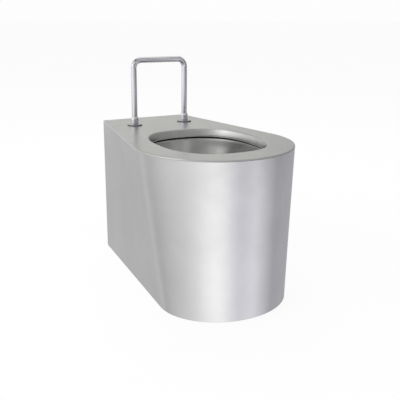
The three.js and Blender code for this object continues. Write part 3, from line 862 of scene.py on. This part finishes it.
# ---- Floor -----------------------------------------------------------------------------------------------
def make_floor():
    """A pale floor that glows evenly, so that it stays near white, and that the steel doesn't mirror."""
    bpy.ops.mesh.primitive_plane_add(size=80, location=(0, 0, -GAP))
    floor = bpy.context.object
    floor.name = "studio_floor"
    material, _, shader = new_material("studio_floor")
    shader.inputs["Base Color"].default_value = (0.2, 0.2, 0.2, 1)
    shader.inputs["Roughness"].default_value = 0.9
    shader.inputs["Specular IOR Level"].default_value = 0.0
    shader.inputs["Emission Color"].default_value = (1, 1, 1, 1)
    shader.inputs["Emission Strength"].default_value = 0.885
    floor.data.materials.append(material)
    floor.visible_glossy = False


# ---- Light -----------------------------------------------------------------------------------------------
NEUTRAL, COOL, WARM = (1, 1, 1), (0.985, 0.98, 1.035), (1.0, 1.0, 0.98)
# Each wall is a list of heading in degrees from +Y towards +X, brightness and tint.
# Low down: a broad soft light to the left behind the camera, and darker walls to the right.
LOW_WALLS = [
    (-180, 1.05, COOL),
    (-172, 1.18, NEUTRAL),
    (-163, 1.30, NEUTRAL),
    (-153, 1.30, NEUTRAL),
    (-144, 1.22, NEUTRAL),
    (-134, 1.10, NEUTRAL),
    (-125, 0.97, NEUTRAL),
    (-104, 0.78, NEUTRAL),
    (-84, 0.71, NEUTRAL),
    (-63, 0.62, NEUTRAL),
    (-50, 0.55, NEUTRAL),
    (-40, 0.57, NEUTRAL),
    (-31, 0.68, NEUTRAL),
    (-15, 0.58, NEUTRAL),
    (40, 0.45, COOL),
    (88, 0.52, COOL),
    (110, 0.49, COOL),
    (130, 0.78, COOL),
    (147, 1.03, COOL),
    (160, 0.92, COOL),
    (170, 0.88, COOL),
    (180, 1.05, COOL),
]
# At rail height: a tall card to the left and a dark one to the right.
MIDDLE_WALLS = [
    (-180, 0.44, NEUTRAL),
    (-150, 0.72, NEUTRAL),
    (-125, 0.95, NEUTRAL),
    (-90, 1.25, NEUTRAL),
    (-55, 1.10, COOL),
    (-20, 0.78, COOL),
    (18, 0.73, WARM),
    (31, 0.70, WARM),
    (44, 0.42, NEUTRAL),
    (75, 0.32, COOL),
    (120, 0.25, COOL),
    (160, 0.32, COOL),
    (180, 0.44, NEUTRAL),
]
# Above it: the same card, and darker walls behind the camera.
HIGH_WALLS = [
    (-180, 0.24, NEUTRAL),
    (-150, 0.36, NEUTRAL),
    (-122, 0.72, NEUTRAL),
    (-85, 1.20, NEUTRAL),
    (-50, 1.25, NEUTRAL),
    (-20, 0.88, NEUTRAL),
    (18, 0.73, WARM),
    (31, 0.70, WARM),
    (44, 0.42, NEUTRAL),
    (120, 0.30, NEUTRAL),
    (180, 0.24, NEUTRAL),
]
CEILING = [
    (-180, 0.75, NEUTRAL),
    (-120, 0.62, NEUTRAL),
    (-30, 0.45, NEUTRAL),
    (90, 0.45, NEUTRAL),
    (150, 0.90, NEUTRAL),
    (180, 0.75, NEUTRAL),
]
# Straight up.
OVERHEAD_GREY = (0.22, 0.22, 0.22)
# What the camera sees behind the floor.
BACKDROP = (0.985, 0.985, 0.985)
# How high a direction points, as its Z, where each level starts and has fully taken over.
MIDDLE_FROM, MIDDLE_FULL = -0.19, -0.12
HIGH_FROM, HIGH_FULL = 0.05, 0.22
CEILING_FROM, CEILING_FULL = 0.34, 0.44
OVERHEAD_FROM, OVERHEAD_FULL = 0.60, 0.80


def make_walls(tree, turn, stops):
    """The walls' light at one level, a ramp that is straight between its stops."""
    ramp = add_node(tree, "ShaderNodeValToRGB")
    ramp.color_ramp.interpolation = "LINEAR"
    elements = ramp.color_ramp.elements
    for k, (degrees, level, tint) in enumerate(stops):
        place = (degrees + 180) / 360
        stop = elements[k] if k < 2 else elements.new(place)
        stop.position = place
        stop.color = (*[level * c for c in tint], 1)
    tree.links.new(turn, ramp.inputs[0])
    return ramp.outputs[0]


def blend(tree, height, first, second, low, high):
    """First where a direction points below low, second where it points above high."""
    fade = add_node(tree, "ShaderNodeMapRange", interpolation_type="SMOOTHSTEP")
    fade.inputs["From Min"].default_value = low
    fade.inputs["From Max"].default_value = high
    tree.links.new(height, fade.inputs["Value"])
    mixed = add_node(tree, "ShaderNodeMix", data_type="RGBA")
    tree.links.new(fade.outputs[0], mixed.inputs[0])
    tree.links.new(first, mixed.inputs[6])
    if isinstance(second, tuple):
        mixed.inputs[7].default_value = (*second, 1)
    else:
        tree.links.new(second, mixed.inputs[7])
    return mixed.outputs[2]


def make_studio():
    """The room that the steel mirrors. The camera itself sees a plain pale backdrop."""
    world = bpy.data.worlds.new("studio")
    bpy.context.scene.world = world
    world.use_nodes = True
    tree = world.node_tree
    split = add_node(tree, "ShaderNodeSeparateXYZ")
    tree.links.new(add_node(tree, "ShaderNodeTexCoord").outputs["Generated"], split.inputs[0])
    heading = add_node(tree, "ShaderNodeMath", operation="ARCTAN2")
    tree.links.new(split.outputs["X"], heading.inputs[0])
    tree.links.new(split.outputs["Y"], heading.inputs[1])
    turn = spread(tree, heading.outputs[0], 0, 1, -math.pi, math.pi)
    height = split.outputs["Z"]
    low, middle, high, ceiling = (
        make_walls(tree, turn, stops) for stops in (LOW_WALLS, MIDDLE_WALLS, HIGH_WALLS, CEILING)
    )
    sky = blend(tree, height, low, middle, MIDDLE_FROM, MIDDLE_FULL)
    sky = blend(tree, height, sky, high, HIGH_FROM, HIGH_FULL)
    sky = blend(tree, height, sky, ceiling, CEILING_FROM, CEILING_FULL)
    sky = blend(tree, height, sky, OVERHEAD_GREY, OVERHEAD_FROM, OVERHEAD_FULL)
    backdrop = add_node(tree, "ShaderNodeMix", data_type="RGBA")
    backdrop.inputs[7].default_value = (*BACKDROP, 1)
    seen = add_node(tree, "ShaderNodeLightPath")
    tree.links.new(seen.outputs["Is Camera Ray"], backdrop.inputs[0])
    tree.links.new(sky, backdrop.inputs[6])
    background = tree.nodes["Background"]
    tree.links.new(backdrop.outputs[2], background.inputs["Color"])
    background.inputs["Strength"].default_value = 1.0


PAN_MIDDLE = Vector((0, 0, 0.25))


def area_light(name, place, size, power):
    """A round lamp that points at the middle of the pan."""
    data = bpy.data.lights.new(name, "AREA")
    data.shape = "DISK"
    data.size = size
    data.energy = power
    lamp = bpy.data.objects.new(name, data)
    lamp.location = place
    lamp.rotation_mode = "QUATERNION"
    lamp.rotation_quaternion = (PAN_MIDDLE - lamp.location).to_track_quat("-Z", "Y")
    lamp.visible_camera = False
    bpy.context.scene.collection.objects.link(lamp)


# ---- The scene -------------------------------------------------------------------------------------------
make_skirt()
make_deck()
make_collar()
make_bowl()
make_throat()
make_channel_wall()
make_trap()
make_flush_pipe()
make_rail()
make_fixings()
dress_cad_nodes()
make_camera()
make_floor()
make_studio()
area_light("key", place=(-3.0, -0.1, 2.4), size=3.0, power=15)
area_light("overhead", place=(0.6, 1.0, 3.4), size=3.0, power=18)

bpy.context.scene.view_settings.view_transform = "Standard"
bpy.context.scene.view_settings.look = "None"
